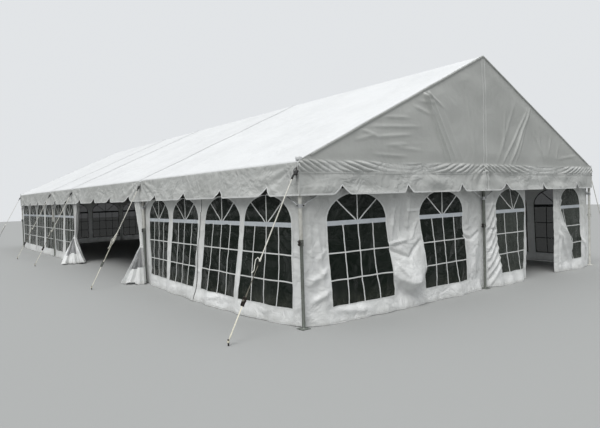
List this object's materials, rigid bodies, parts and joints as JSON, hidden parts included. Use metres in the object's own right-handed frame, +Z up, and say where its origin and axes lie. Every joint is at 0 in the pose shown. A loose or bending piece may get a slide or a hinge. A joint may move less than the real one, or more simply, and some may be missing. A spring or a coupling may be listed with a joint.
{
  "type": "marquee tent",
  "caption": "Gable-end frame tent with hung window walls, one open side bay, a gap in the front wall and guy lines.",
  "frame": {"origin": "on the ground in the middle of the plan, halfway between the gables and between the two side leg lines", "axes": "+X across the gable to the viewer's right, +Y along the tent from the front gable to the back one, +Z up"},
  "size_m": [11.679, 21.486, 4.572],
  "materials": {
    "roof_cloth": "coated white vinyl cloth, satin",
    "wall_cloth": "coated white vinyl cloth, satin, creased",
    "clear_vinyl": "clear flexible vinyl, glossy",
    "frame_tube": "mill finish, satin",
    "leg_tube": "galvanised, dull",
    "guy_line": "cream webbing and rope, with dull steel fittings"
  },
  "bodies": {
    "root": {"roof_section_1": "roof_cloth", "roof_section_2": "roof_cloth", "roof_section_3": "roof_cloth", "roof_section_4": "roof_cloth", "gable_cloth_front": "roof_cloth", "gable_cloth_back": "roof_cloth", "left_wall_near": "wall_cloth", "left_wall_near_windows": "clear_vinyl", "left_wall_far": "wall_cloth", "left_wall_far_windows": "clear_vinyl", "right_wall": "wall_cloth", "right_wall_windows": "clear_vinyl", "front_wall": "wall_cloth", "front_wall_windows": "clear_vinyl", "front_corner_wall": "wall_cloth", "front_corner_wall_windows": "clear_vinyl", "back_wall": "wall_cloth", "back_wall_windows": "clear_vinyl", "door_curtain_near": "wall_cloth", "door_curtain_far": "wall_cloth", "gable_frame_front": "frame_tube", "rafter_frame_1": "frame_tube", "rafter_frame_2": "frame_tube", "rafter_frame_3": "frame_tube", "gable_frame_back": "frame_tube", "left_eave_rail": "frame_tube", "right_eave_rail": "frame_tube", "ridge_pole": "frame_tube", "leg_left_1": "leg_tube", "leg_left_2": "leg_tube", "leg_left_3": "leg_tube", "leg_left_4": "leg_tube", "leg_left_5": "leg_tube", "leg_right_1": "leg_tube", "leg_right_2": "leg_tube", "leg_right_3": "leg_tube", "leg_right_4": "leg_tube", "leg_right_5": "leg_tube", "leg_front_center": "leg_tube", "leg_back_center": "leg_tube", "guy_left_1": "guy_line", "guy_left_2": "guy_line", "guy_left_3": "guy_line", "guy_left_4": "guy_line", "guy_left_5": "guy_line", "guy_right_1": "guy_line", "guy_right_2": "guy_line", "guy_right_3": "guy_line", "guy_right_4": "guy_line", "guy_right_5": "guy_line"}
  },
  "joints": []
}
